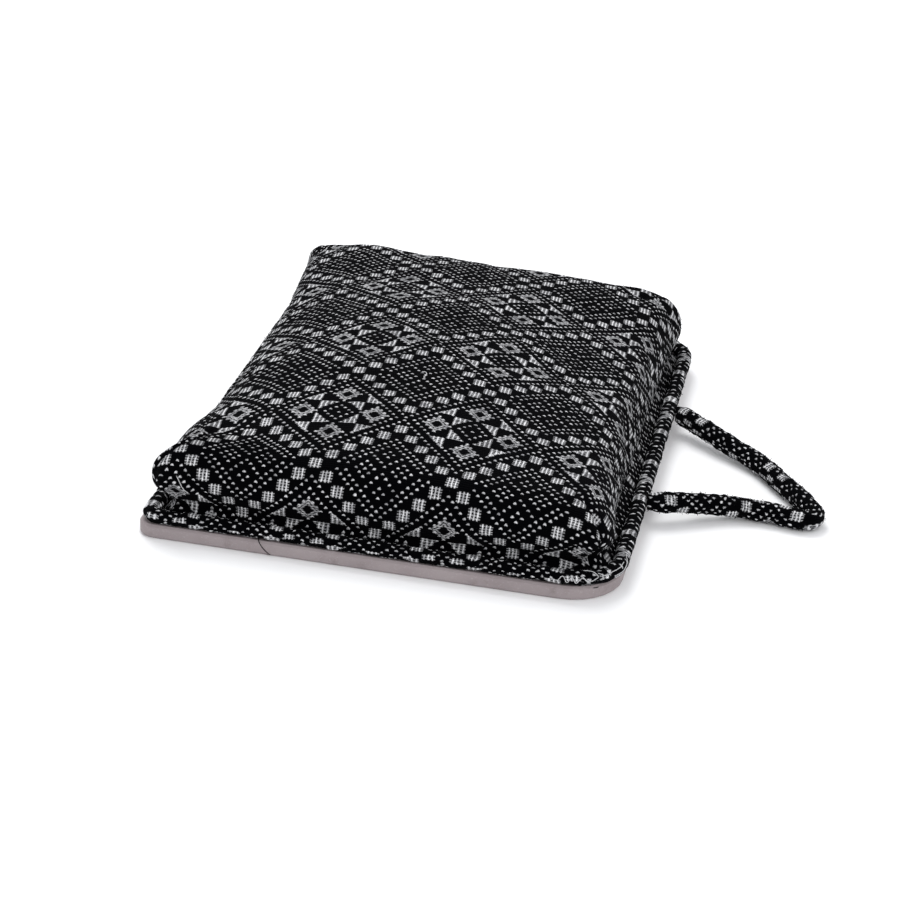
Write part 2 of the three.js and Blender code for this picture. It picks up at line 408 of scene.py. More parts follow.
def unrolled(rings, rim):
    """For each side, the rings' points with the wall laid flat, straight out from the rim."""
    steps = np.linalg.norm(np.diff(rings[: rim + 1], axis=0), axis=2)
    reach = np.cumsum(steps[::-1], axis=0)[::-1]
    flats = []
    for axis, direction in SIDE_DIRECTIONS:
        flat = rings[..., :2].copy()
        flat[:rim, :, axis] = rings[rim, :, axis] + direction * reach
        flats.append(flat.tolist())
    return flats


def mesh_object(name, points, faces):
    """A smooth-shaded object from points in millimetres."""
    mesh = bpy.data.meshes.new(name)
    mesh.from_pydata((np.asarray(points) * MM).tolist(), [], faces)
    mesh.polygons.foreach_set("use_smooth", [True] * len(mesh.polygons))
    mesh.update()
    made = bpy.data.objects.new(name, mesh)
    bpy.context.scene.collection.objects.link(made)
    return made


def set_cloth_map(made, corner_places):
    """Keeps each face corner's place on the woven cloth, in repeats of the pattern."""
    layer = made.data.uv_layers.new(name=CLOTH_MAP)
    layer.uv.foreach_set("vector", np.asarray(corner_places, np.float32).ravel())


def make_cushion():
    """The cushion's cover, closed over its crown and under its foot."""
    rings, rim = cushion_rings()
    levels, columns, _ = rings.shape
    sides = side_of_columns(columns)
    flats = unrolled(rings, rim)
    points = rumpled(rings, rim).reshape(-1, 3).tolist()
    top = settle(COVER_SHIFT, 0, WALL[-1][0] + CROWN_RISE)
    points += [[COVER_SHIFT, 0, float(top)], [COVER_SHIFT, 0, BOARD_THICKNESS + FOOT_GAP]]
    apex = len(points) - 2
    foot = len(points) - 1
    last = levels - 1
    faces = []
    places = []
    for column in range(columns):
        following = (column + 1) % columns
        flat = flats[sides[column]]
        for level in range(last):
            corners = [(level, column), (level, following), (level + 1, following), (level + 1, column)]
            faces.append([a * columns + b for a, b in corners])
            places += [flat[a][b] for a, b in corners]
        faces.append([last * columns + column, last * columns + following, apex])
        places += [flat[last][column], flat[last][following], (COVER_SHIFT, 0)]
        faces.append([following, column, foot])
        places += [(0, 0)] * 3
    made = mesh_object("cushion_cover", points, faces)
    set_cloth_map(made, cloth_places(places))
    return made


# Cloth tubes: the distance between rings, and their wrinkles, which are short with some longer ones in them
TUBE_STEP = 1.6
WRINKLE_PITCH = 3.4
WRINKLE_ROUNDNESS = 0.6
LONG_WRINKLE_SCALE = 0.23
LONG_WRINKLE_SHARE = 0.5

# The corded edge. The pattern wraps round its cord by the stretch below on the long sides.
PIPING_RADIUS = 5.5
PIPING_INSET = 5
PIPING_HEIGHT = 15.8
PIPING_SIDES = 20
PIPING_HEIGHT_SHARE = 0.88
PIPING_WRINKLE = 0.7
PIPING_CLOTH_X = 14
PIPING_CLOTH_Y = 9
WRAP_STRETCH = 1.9

# The handle's route: x, y and how far it sinks, from 0 at the piping's height to 1 on the surface below
HANDLE_ROUTE = [
    (168.7, 70, 0),
    (171.5, 70, 0),
    (186, 59.5, 0.15),
    (202, 47, 0.4),
    (219, 34.5, 0.7),
    (234, 23, 0.9),
    (246, 9, 1),
    (257, -7, 1),
    (268.5, -23, 1),
    (277.5, -38.5, 1),
    (283.5, -52, 1),
    (281.5, -61, 1),
    (271, -61.5, 1),
    (255, -58.5, 1),
    (240, -58, 0.95),
    (222, -62, 0.7),
    (204, -69, 0.4),
    (188, -77, 0.15),
    (171.5, -84, 0),
    (168.7, -84, 0),
]
HANDLE_CURVE_STEPS = 12
HANDLE_HEIGHT = 7.8
HANDLE_SIDES = 26
HANDLE_COVER_RADIUS = 7.4
HANDLE_FLOOR = 0.3
HANDLE_WRINKLE = 0.8
HANDLE_CLOTH_X = 30
HANDLE_BEND = (281.5, -57.5)
BEND_CREASE = 2.5
BEND_CREASE_REACH = 6
END_PINCH = 0.2
END_PINCH_REACH = 5


def directions(line, closed):
    """Unit directions along a line of points."""
    if closed:
        ahead = np.roll(line, -1, 0) - np.roll(line, 1, 0)
    else:
        ahead = np.gradient(line, axis=0)
    return ahead / np.linalg.norm(ahead, axis=1)[:, None]


def spokes_round(line, closed, sides, aside):
    """Unit vectors round each point of a line, the first of them square to the line and to aside."""
    ahead = directions(line, closed)
    out = np.cross(ahead, aside)
    out /= np.linalg.norm(out, axis=1)[:, None]
    rise = np.cross(out, ahead)
    angles = 2 * np.pi * np.arange(sides) / sides
    return np.cos(angles)[:, None] * out[:, None] + np.sin(angles)[:, None] * rise[:, None]


def tube(name, line, radii, closed, cloth_at, floor=None):
    """Cloth-covered tube along a line, with one row of radii for each of its points.

    cloth_at gives the place on the flat cloth for a face's ring, a corner's ring and a corner's number
    round the tube. No point of the tube lies lower than the floor.
    """
    count, sides = radii.shape
    spokes = spokes_round(line, closed, sides, (0, 0, 1))
    points = (line[:, None] + radii[..., None] * spokes).reshape(-1, 3)
    if floor is not None:
        points[:, 2] = np.maximum(points[:, 2], floor)
    faces = []
    places = []
    for ring in range(count if closed else count - 1):
        for spoke in range(sides):
            corners = [(ring + 1, spoke), (ring + 1, spoke + 1), (ring, spoke + 1), (ring, spoke)]
            faces.append([(a % count) * sides + b % sides for a, b in corners])
            places += [cloth_at(ring, a, b) for a, b in corners]
    if not closed:
        first = list(range(sides))
        last = [(count - 1) * sides + spoke for spoke in range(sides)]
        faces += [first, last[::-1]]
        places += [(0, 0)] * (2 * sides)
    made = mesh_object(name, points, faces)
    set_cloth_map(made, np.array(places) / (REPEAT_X, REPEAT_Y))
    return made


def wrinkle_at(spot):
    """Height of the wrinkles, from about -1 to 1."""
    return gradient_noise(spot) + LONG_WRINKLE_SHARE * gradient_noise(spot * LONG_WRINKLE_SCALE)


def uneven_radii(line, radius, height_share, sides, wrinkle):
    """Radii of a stuffed cloth tube, as high as a share of its width and wrinkled across its length."""
    angles = 2 * np.pi * np.arange(sides) / sides
    oval = radius * np.hypot(np.cos(angles), height_share * np.sin(angles))
    rows = []
    for index in range(len(line)):
        along = index * TUBE_STEP / WRINKLE_PITCH
        spots = [
            Vector((along, math.cos(angle) * WRINKLE_ROUNDNESS, math.sin(angle) * WRINKLE_ROUNDNESS))
            for angle in angles
        ]
        rows.append([wrinkle * wrinkle_at(spot) for spot in spots])
    return oval + np.array(rows)


def evenly(points, step, closed):
    """The same line with its points a fixed step apart."""
    line = np.concatenate([points, points[:1]]) if closed else np.asarray(points, float)
    runs = np.linalg.norm(np.diff(line, axis=0), axis=1)
    along = np.concatenate([[0], np.cumsum(runs)])
    count = max(2, round(along[-1] / step))
    wanted = np.linspace(0, along[-1], count + 1)
    if closed:
        wanted = wanted[:-1]
    return np.stack([np.interp(wanted, along, values) for values in line.T], 1)


def make_piping():
    """The corded edge. Its cloth runs straight, so the pattern wraps round the cord on the long sides."""
    flat = outline(
        BOARD_WIDTH / 2 - PIPING_INSET,
        BOARD_LENGTH / 2 - PIPING_INSET,
        PLAIN_SIDE_RADIUS - PIPING_INSET,
        HANDLE_SIDE_RADIUS - PIPING_INSET,
    )
    height = PIPING_HEIGHT - PIPING_RADIUS * (1 - PIPING_HEIGHT_SHARE)
    line = np.stack([flat[:, 0] + COVER_SHIFT, flat[:, 1], np.full(len(flat), height)], 1)
    line = evenly(line, TUBE_STEP, True)
    ahead = directions(line, True)
    radii = uneven_radii(line, PIPING_RADIUS, PIPING_HEIGHT_SHARE, PIPING_SIDES, PIPING_WRINKLE)
    girth = 2 * math.pi * PIPING_RADIUS

    def cloth_at(face, ring, spoke):
        x, y, _ = line[ring % len(line)]
        around = spoke * girth / PIPING_SIDES
        if abs(ahead[face][0]) > abs(ahead[face][1]):
            return x, around + PIPING_CLOTH_Y
        return around / WRAP_STRETCH + PIPING_CLOTH_X, y

    return tube("piping_cover", line, radii, True, cloth_at)


def between(time, early, late, start, end):
    """Point on the straight way from start to end, at a time between early and late."""
    return ((late - time) * start + (time - early) * end) / (late - early)


def smooth_route(points, per_run):
    """Smooth curve through the points, with per_run steps from each to the next."""
    points = np.asarray(points, float)
    padded = np.concatenate([[2 * points[0] - points[1]], points, [2 * points[-1] - points[-2]]])
    made = []
    for start in range(len(padded) - 3):
        near = padded[start : start + 4]
        gaps = np.sqrt(np.linalg.norm(np.diff(near, axis=0), axis=1))
        times = np.concatenate([[0], np.cumsum(gaps)])
        for time in np.linspace(times[1], times[2], per_run, endpoint=False):
            first = [between(time, times[k], times[k + 1], near[k], near[k + 1]) for k in range(3)]
            second = [between(time, times[k], times[k + 2], first[k], first[k + 1]) for k in range(2)]
            made.append(between(time, times[1], times[2], *second))
    made.append(points[-1])
    return np.array(made)


def make_handle():
    """The loop handle. It lies flat on what is below and creases across its tight bend."""
    drop = HANDLE_HEIGHT - PIPING_HEIGHT
    route = [(x, y, PIPING_HEIGHT + drop * sink) for x, y, sink in HANDLE_ROUTE]
    line = evenly(smooth_route(route, HANDLE_CURVE_STEPS), TUBE_STEP, False)
    radii = uneven_radii(line, HANDLE_COVER_RADIUS, 1, HANDLE_SIDES, HANDLE_WRINKLE)
    ends = np.minimum(np.arange(len(line)), np.arange(len(line))[::-1]) * TUBE_STEP
    radii *= 1 - END_PINCH * bell(ends / END_PINCH_REACH)[:, None]
    bend = np.linalg.norm(line[:, :2] - HANDLE_BEND, axis=1)
    inner = np.cos(2 * np.pi * np.arange(HANDLE_SIDES) / HANDLE_SIDES)
    radii -= BEND_CREASE * bell(bend / BEND_CREASE_REACH)[:, None] * np.maximum(inner, 0)
    girth = 2 * math.pi * HANDLE_COVER_RADIUS

    def cloth_at(_, ring, spoke):
        return ring * TUBE_STEP + HANDLE_CLOTH_X, spoke * girth / HANDLE_SIDES

    return tube("handle_cover", line, radii, False, cloth_at, floor=HANDLE_FLOOR)


# Loose thread ends
THREAD_RADIUS = 0.28
THREAD_SIDES = 8
THREAD_STEP = 0.8
THREAD_CURVE_STEPS = 8
THREAD_LIFT = 0.25
STRAND_TIP_SHARE = 0.5
STRAND_ASIDE = (0.31, 0.17, 0.93)

# Each loose thread end: its name, the piece it lies on, whether it is white, and points near its route
LOOSE_THREADS = [
    (
        "corner_loop",
        "piping",
        True,
        [(141, -208, 21), (147, -208, 21), (152, -210, 18), (147, -213, 15), (141, -213, 18)],
    ),
    (
        "edge_loops",
        "piping",
        True,
        [
            (126, -215, 15),
            (129, -216, 18),
            (132, -216, 14),
            (135, -216, 18),
            (138, -215, 14),
            (142, -215, 18),
            (146, -213, 14),
        ],
    ),
    (
        "corner_run",
        "piping",
        True,
        [(151, -208, 20), (157, -206, 18), (161, -201, 19), (164, -195, 19), (166, -186, 20)],
    ),
    (
        "side_run",
        "piping",
        True,
        [(163, -199, 15), (166, -192, 15), (167, -184, 17), (166, -175, 20), (167, -168, 17)],
    ),
    ("fold_thread", "cushion", True, [(-139, -208, 46), (-135, -209, 39), (-130, -210, 33)]),
    (
        "top_thread",
        "cushion",
        True,
        [(-2.5, -67, 84), (0.4, -67, 84), (2, -71, 84), (0.8, -75, 84), (2.4, -76, 84)],
    ),
    (
        "board_thread",
        "board",
        False,
        [(-80, -212, 10), (-78, -216, 9), (-76, -216, 6), (-73, -216, 3), (-70, -216, 0.8)],
    ),
    ("corner_end", "board", False, [(150, -211, 11), (153, -211, 10), (156, -210, 9)]),
]

# Short fibres that stand off the cloth
SEED = 11
FUZZ_COUNTS = {"cushion": 1800, "piping": 700, "handle": 900}
FUZZ_LENGTH = (0.4, 1.2)
FUZZ_RADIUS = 0.2
FUZZ_SIDES = 3
FUZZ_SHARES = (0, 0.4, 0.75, 1)
FUZZ_UPRIGHT = 0.7
FUZZ_LEAN = 0.8
FUZZ_BEND = 0.9
FUZZ_FLOOR = 0.4
FUZZ_WHITE_SHARE = 0.2


def surface_of(piece):
    """Search tree of a piece's faces."""
    mesh = piece.data
    points = [point.co for point in mesh.vertices]
    return BVHTree.FromPolygons(points, [list(face.vertices) for face in mesh.polygons])


def strand(line, radius, sides):
    """Points and faces of a thin tube that narrows at both ends."""
    line = np.asarray(line, float)
    widths = np.full(len(line), radius)
    widths[[0, -1]] *= STRAND_TIP_SHARE
    spokes = spokes_round(line, False, sides, STRAND_ASIDE)
    points = (line[:, None] + widths[:, None, None] * spokes).reshape(-1, 3)
    last = len(line) - 1
    faces = [list(range(sides)), [last * sides + spoke for spoke in reversed(range(sides))]]
    for ring in range(last):
        for spoke in range(sides):
            beside = (spoke + 1) % sides
            corners = [(ring + 1, spoke), (ring + 1, beside), (ring, beside), (ring, spoke)]
            faces.append([a * sides + b for a, b in corners])
    return points, faces


def loose_thread(name, carrier, points):
    """A thread end that lies on a piece, through points near its surface."""
    surface = surface_of(carrier)
    route = []
    for point in smooth_route(points, THREAD_CURVE_STEPS):
        found, normal, _, _ = surface.find_nearest(Vector(point) * MM)
        route.append((np.array(found) + np.array(normal) * THREAD_LIFT * MM) / MM)
    line = evenly(np.array(route), THREAD_STEP, False)
    places, faces = strand(line, THREAD_RADIUS, THREAD_SIDES)
    return mesh_object(name, places, faces)


def fibre_line(face, chance):
    """Bent line of a fibre that starts on a face."""
    start = np.array(face.center) / MM
    upright = np.array(face.normal) * FUZZ_UPRIGHT
    lean = upright + [chance.uniform(-FUZZ_LEAN, FUZZ_LEAN) for _ in range(3)]
    bend = np.array([chance.uniform(-FUZZ_BEND, FUZZ_BEND) for _ in range(3)])
    length = chance.uniform(*FUZZ_LENGTH)
    return [start + lean * length * share + bend * length * share**2 for share in FUZZ_SHARES]


def fuzz(name, carrier, count, chance):
    """Short fibres that stand off a piece's cloth, a few of them white."""
    mesh = carrier.data
    all_points = []
    all_faces = []
    shades = []
    for _ in range(count):
        line = fibre_line(mesh.polygons[chance.randrange(len(mesh.polygons))], chance)
        if min(point[2] for point in line) < FUZZ_FLOOR:
            continue
        points, faces = strand(line, FUZZ_RADIUS, FUZZ_SIDES)
        base = FUZZ_SIDES * len(line) * len(shades)
        all_points.append(points)
        all_faces += [[base + corner for corner in corners] for corners in faces]
        shades.append(1 if chance.random() < FUZZ_WHITE_SHARE else 0)
    made = mesh_object(name, np.concatenate(all_points), all_faces)
    per_strand = len(all_faces) // len(shades)
    made.data.polygons.foreach_set("material_index", np.repeat(shades, per_strand))
    return made


class Term:
    """A value in a node tree that sums can be written with."""

    def __init__(self, tree, socket):
        self.tree = tree
        self.socket = socket

    def math(self, operation, *others):
        """The result of an operation on this value and others, each a term or a number."""
        node = self.tree.nodes.new("ShaderNodeMath")
        node.operation = operation
        for socket, other in zip(node.inputs, (self, *others)):
            if isinstance(other, Term):
                self.tree.links.new(other.socket, socket)
            else:
                socket.default_value = other
        return Term(self.tree, node.outputs[0])

    def __add__(self, other):
        return self.math("ADD", other)

    def __sub__(self, other):
        return self.math("SUBTRACT", other)

    def __rsub__(self, other):
        return self.math("MULTIPLY_ADD", -1.0, other)

    def __mul__(self, other):
        return self.math("MULTIPLY", other)

    def __truediv__(self, other):
        return self.math("DIVIDE", other)

    def ramp(self, low, high):
        """0 below low and 1 above high, smooth between. With low above high it falls instead."""
        node = self.tree.nodes.new("ShaderNodeMapRange")
        node.interpolation_type = "SMOOTHSTEP"
        node.inputs["From Min"].default_value = low
        node.inputs["From Max"].default_value = high
        self.tree.links.new(self.socket, node.inputs["Value"])
        return Term(self.tree, node.outputs["Result"])

    def under(self, limit, softness):
        """1 below a limit and 0 above it, with a soft edge."""
        return self.ramp(limit + softness, limit - softness)

    def over(self, limit, softness):
        """0 below a limit and 1 above it, with a soft edge."""
        return self.ramp(limit - softness, limit + softness)


# The weave, in cells of the chart: how many threads a cell holds each way, and how white they show
PICKS_PER_CELL = 5 / 3
ENDS_PER_CELL = 2
PICK_EDGE = (0.36, 0.16)
PICK_WHITENESS = 0.42
BAR_WHITENESS = 0.8
BAR_PICK_WHITENESS = 0.25
CHART_BITS = 16
BIT_MARGIN = 0.00001

# Dots, each a short float of thread painted as an arched crescent: a painted highlight, with its near side
# left dark as painted shade. And the dotted line on the star's side of the chain of blocks
DOT_WIDTH = 0.35
DOT_HEIGHT = 0.25
DOT_PAINTED_CRESCENT = 0.5
DOT_EDGE = (1.25, 0.7)
DOT_DOME = (1.3, 0.1)
LINE_SUM = 18.35

# Blocks of three bars
BAR_HALF_WIDTH = 0.23
BAR_PITCH = 0.78
BAR_EDGE = 0.1
BLOCK_CELLS = 3
BLOCK_HALF_WIDTH = 1.8
BLOCK_HALF_HEIGHT = 1.28
CHAIN_SUM = 5

# Triangles and lozenge rings of the star, with places counted from its middle
STAR_CORNER_X = 5
STAR_CORNER_Y = 4.5
STAR_EDGE = 0.15
OUTER_REACH = 13.2
INNER_REACH = 5.5
RING_PLACE = 8
RING_HOLE = 1.35
RING_HOLE_EDGE = 0.2
RING_EDGE = 2.95
RING_OUTER_EDGE = 0.25
RING_LINE = 0.38
RING_LINE_WHITENESS = 0.4
LACE_END_EDGE = (0.45, 0.2)
LACE_WHITENESS = 0.5
LACE_PICK_WHITENESS = 0.1
FIGURE_DOME = 0.7


def size_of(term):
    return term.math("ABSOLUTE")


def nearest(term):
    """The nearest whole number."""
    return (term + 0.5).math("FLOOR")


def larger(*terms):
    """The largest of some values."""
    first, *others = terms
    for other in others:
        first = first.math("MAXIMUM", other)
    return first


def power_of_two(term):
    node = term.tree.nodes.new("ShaderNodeMath")
    node.operation = "POWER"
    node.inputs[0].default_value = 2
    term.tree.links.new(term.socket, node.inputs[1])
    return Term(term.tree, node.outputs[0])


def charted_dots(tree, row):
    """Number whose binary digits say in which columns of the chart's row a dot stands."""
    node = tree.nodes.new("ShaderNodeValToRGB")
    ramp = node.color_ramp
    ramp.interpolation = "CONSTANT"
    for index, line in enumerate(CHART):
        number = sum(2**column for column, letter in enumerate(line) if letter == CHART_DOT)
        value = number / 2**CHART_BITS
        start = index / len(CHART)
        stop = ramp.elements[index] if index < 2 else ramp.elements.new(start)
        stop.position = start
        stop.color = (value, value, value, 1)
    share = (row + 0.5) / len(CHART)
    tree.links.new(share.socket, node.inputs["Fac"])
    split = tree.nodes.new("ShaderNodeSeparateColor")
    tree.links.new(node.outputs["Color"], split.inputs["Color"])
    return Term(tree, split.outputs["Red"]) * 2**CHART_BITS


def dot_stands_at(tree, row, column):
    """1 where the chart has a dot at a row and column, else 0."""
    shifted = charted_dots(tree, row) / power_of_two(column)
    return (shifted + BIT_MARGIN).math("FLOOR").math("FLOORED_MODULO", 2)


def painted_crescent_span(across, along, backward):
    """How far out a place lies of a dot drawn as an arched crescent, a painted highlight with its near side
    left dark as painted shade: 0 in its middle and 1 on its edge.
    """
    x = across / DOT_WIDTH
    # The arch bends each dot into a crescent: painted highlight on one side, and painted shade where the
    # rest of the float is left dark
    y = along * backward / DOT_HEIGHT + x * x * DOT_PAINTED_CRESCENT - DOT_PAINTED_CRESCENT / 2
    return (x * x + y * y).math("SQRT")


def white_bars(across, picks):
    """Thick white threads, dimmer between the thin picks of the weft."""
    return size_of(across).under(BAR_HALF_WIDTH, BAR_EDGE) * (picks * BAR_PICK_WHITENESS + BAR_WHITENESS)


def chain_blocks(column, row, picks):
    """Square blocks of three bars, in a chain round the dotted diamond, with picks out at both sides."""
    block_column = nearest(column / BLOCK_CELLS)
    block_row = nearest(row / BLOCK_CELLS)
    in_chain = (block_column + block_row).math("COMPARE", CHAIN_SUM, 0.5)
    across = (column - block_column * BLOCK_CELLS) / BAR_PITCH
    along = row - block_row * BLOCK_CELLS
    bar = nearest(across).math("MAXIMUM", -1.0).math("MINIMUM", 1.0)
    tall = size_of(along).under(BLOCK_HALF_HEIGHT, BAR_EDGE)
    wide = size_of(across).under(BLOCK_HALF_WIDTH, BAR_EDGE)
    return in_chain * tall * larger(white_bars(across - bar, picks), wide * picks * PICK_WHITENESS)


def star_triangles(star_x, star_y, picks):
    """Pairs of right-angled triangles that meet at a corner, in each quarter of the star."""
    bar = star_x.math("FLOOR") + 0.5
    reach = (bar + star_x) * 0.5 + star_y
    right = star_x.ramp(STAR_CORNER_X, STAR_CORNER_X + STAR_EDGE)
    above = star_y.ramp(STAR_CORNER_Y, STAR_CORNER_Y + STAR_EDGE)
    left = star_x.ramp(STAR_CORNER_X, STAR_CORNER_X - STAR_EDGE)
    below = star_y.ramp(STAR_CORNER_Y, STAR_CORNER_Y - STAR_EDGE)
    outer = right * above * reach.under(OUTER_REACH, STAR_EDGE)
    inner = left * below * reach.over(INNER_REACH, STAR_EDGE)
    return (outer + inner) * larger(white_bars(star_x - bar, picks), picks * PICK_WHITENESS)


def lozenge_span(beside, above):
    """How far out a place lies of a lozenge's middle."""
    return size_of(beside) + size_of(above)


def star_rings(star_x, star_y, picks):
    """Lozenge rings at the four points of the star: two lines with thin lace between them."""
    beside = lozenge_span(star_x - RING_PLACE, star_y)
    above = lozenge_span(star_x, star_y - RING_PLACE)
    away = beside.math("MINIMUM", above)
    ring = away.over(RING_HOLE, RING_HOLE_EDGE) * away.under(RING_EDGE, RING_OUTER_EDGE)
    ends = size_of(star_x - nearest(star_x)).ramp(*LACE_END_EDGE)
    outer_line = size_of(away - (RING_EDGE - RING_LINE)).ramp(RING_LINE, 0)
    inner_line = size_of(away - (RING_HOLE + RING_LINE)).ramp(RING_LINE, 0)
    lines = larger(outer_line, inner_line) * (picks * RING_LINE_WHITENESS + RING_LINE_WHITENESS)
    lace = ends * picks * LACE_WHITENESS + picks * LACE_PICK_WHITENESS
    return ring * larger(lace, lines)


def woven_pattern(tree, u, v):
    """At a place in repeats: the white share, the plain weave's relief, and that of the white floats."""
    column = (u * (2 * CHART_COLUMNS)).math("PINGPONG", CHART_COLUMNS)
    row = (v * (2 * CHART_ROWS)).math("PINGPONG", CHART_ROWS)
    near_column = nearest(column)
    near_row = nearest(row)
    across = column - near_column

    # Rows are counted backward in every other half repeat, so that every dot's painted crescent turns the
    # same way on the cloth
    backward = v.math("FRACT").math("LESS_THAN", 0.5) * 2 - 1
    is_dot = dot_stands_at(tree, near_row, near_column)
    dot_span = painted_crescent_span(across, row - near_row, backward)
    line_span = painted_crescent_span(across, row - (LINE_SUM - near_column), backward)

    off_pick = size_of((row * PICKS_PER_CELL).math("FRACT") - 0.5)
    off_end = size_of((column * ENDS_PER_CELL).math("FRACT") - 0.5)
    picks = off_pick.ramp(*PICK_EDGE)
    star_x = CHART_COLUMNS - column
    star_y = CHART_ROWS - row
    figures = larger(
        chain_blocks(column, row, picks),
        star_triangles(star_x, star_y, picks),
        star_rings(star_x, star_y, picks),
    )
    white = larger(figures, is_dot * dot_span.ramp(*DOT_EDGE), line_span.ramp(*DOT_EDGE))
    domes = larger(figures * FIGURE_DOME, is_dot * dot_span.ramp(*DOT_DOME), line_span.ramp(*DOT_DOME))
    weave = (off_pick * -2 + 1) * (off_end + 0.5)
    return white, weave, domes


# The cloth: how far its threads wander, by slow and quick noise, and the scale of its other unevenness
CLOTH_WANDER = {"cover_cloth": 1, "trim_cloth": 2}
SLOW_WANDER = 0.014
QUICK_WANDER = 0.011
WANDER_SCALES_U = (70, 330)
WANDER_SCALES_V = (90, 370)
FIBRE_SCALE = 2600
CLOUD_SCALE = 45
GROUND_COLOUR = (0.0005, 0.0005, 0.001, 1)
WORN_GROUND_COLOUR = (0.0025, 0.0025, 0.004, 1)
FLOAT_COLOUR = (0.96, 0.96, 0.98, 1)
DULL_FLOAT_COLOUR = (0.38, 0.38, 0.4, 1)
FRAY_EDGE = (0.2, 0.45)
FIBRE_WEAR = 0.6
WEAVE_WEAR = 0.4
WEAR_EDGE = (0.5, 0.9)
CELL_DULLNESS = 0.65
CLOUD_DULLNESS = 0.7
DULLNESS_DROP = 0.3
DULL_EDGE = (0.1, 0.9)
CLOTH_ROUGHNESS = 0.85
FIBRE_ROUGHNESS = 0.1
FLOAT_SMOOTHNESS = 0.1
THREAD_RELIEF = 0.0018
WEAVE_RELIEF_SHARE = 0.3
FIBRE_RELIEF_SHARE = 0.25

# Loose threads and fibres
DARK_THREAD_COLOUR = (0.004, 0.004, 0.005, 1)
WHITE_THREAD_COLOUR = (0.62, 0.62, 0.63, 1)
# How dark the painted shade between the plies makes the thread's colour
TWIST_SCALE = 1800
TWIST_PAINTED_SHADE = 0.6
TWIST_EDGE = (0.35, 0.65)
TWIST_RELIEF = 0.0002

# The board's matte stain, with its shade, its smudges and its rubbed spots
BOARD_COLOUR = (0.31, 0.265, 0.27, 1)
BOARD_SHADE = (0.25, 0.21, 0.215, 1)
BOARD_SMUDGE = (0.2, 0.165, 0.168, 1)
BOARD_RUBBED = (0.38, 0.34, 0.34, 1)
STAIN_SCALE = 14
SMUDGE_SCALE = 55
PIT_SCALE = 900
STAIN_EDGE = (0.3, 0.7)
SMUDGE_EDGE = (0.52, 0.75)
RUB_EDGE = (0.55, 0.85)
BOARD_ROUGHNESS = 0.68
SMUDGE_SMOOTHNESS = 0.25
SMUDGE_RELIEF_SHARE = 0.5
BOARD_RELIEF = 0.0003


def noise(tree, vector, scale, detail=2.0, roughness=0.5):
    """Noise from 0 to 1 at a place."""
    node = tree.nodes.new("ShaderNodeTexNoise")
    node.inputs["Scale"].default_value = scale
    node.inputs["Detail"].default_value = detail
    node.inputs["Roughness"].default_value = roughness
    tree.links.new(vector, node.inputs["Vector"])
    return Term(tree, node.outputs["Fac"])


def mix_colours(tree, share, first, second):
    """First colour where the share is 0 and second where it is 1. Each is a colour or a socket."""
    node = tree.nodes.new("ShaderNodeMix")
    node.data_type = "RGBA"
    tree.links.new(share.socket, node.inputs[0])
    for socket, colour in ((node.inputs[6], first), (node.inputs[7], second)):
        if isinstance(colour, tuple):
            socket.default_value = colour
        else:
            tree.links.new(colour, socket)
    return node.outputs[2]


def new_material(name):
    """A new material, its node tree and its shader."""
    made = bpy.data.materials.new(name)
    made.use_nodes = True
    return made, made.node_tree, made.node_tree.nodes["Principled BSDF"]


def object_place(tree):
    """Place on the piece, in metres."""
    return tree.nodes.new("ShaderNodeTexCoord").outputs["Object"]


def add_relief(tree, shader, height, strength, distance):
    """Bumps in the surface, as high as the distance where the height is 1."""
    bump = tree.nodes.new("ShaderNodeBump")
    bump.inputs["Strength"].default_value = strength
    bump.inputs["Distance"].default_value = distance
    tree.links.new(height.socket, bump.inputs["Height"])
    tree.links.new(bump.outputs["Normal"], shader.inputs["Normal"])


def jitter(tree, place, wander, scales):
    """Small wander of the threads from their places, by two sizes of noise."""
    coarse, fine = scales
    slow = (noise(tree, place, coarse) - 0.5) * (SLOW_WANDER * wander)
    return slow + (noise(tree, place, fine) - 0.5) * (QUICK_WANDER * wander)


def cloth_place(tree, place, wander):
    """Place on the woven cloth, in repeats, with the threads' wander."""
    flat = tree.nodes.new("ShaderNodeUVMap")
    flat.uv_map = CLOTH_MAP
    split = tree.nodes.new("ShaderNodeSeparateXYZ")
    tree.links.new(flat.outputs["UV"], split.inputs["Vector"])
    u = Term(tree, split.outputs["X"]) + jitter(tree, place, wander, WANDER_SCALES_U)
    v = Term(tree, split.outputs["Y"]) + jitter(tree, place, wander, WANDER_SCALES_V)
    return u, v


def scattered(tree, u, v):
    """A random number for each cell of the chart, repeats told apart."""
    cell = tree.nodes.new("ShaderNodeCombineXYZ")
    tree.links.new(nearest(u * (2 * CHART_COLUMNS)).socket, cell.inputs["X"])
    tree.links.new(nearest(v * (2 * CHART_ROWS)).socket, cell.inputs["Y"])
    random_value = tree.nodes.new("ShaderNodeTexWhiteNoise")
    random_value.noise_dimensions = "2D"
    tree.links.new(cell.outputs["Vector"], random_value.inputs["Vector"])
    return Term(tree, random_value.outputs["Value"])


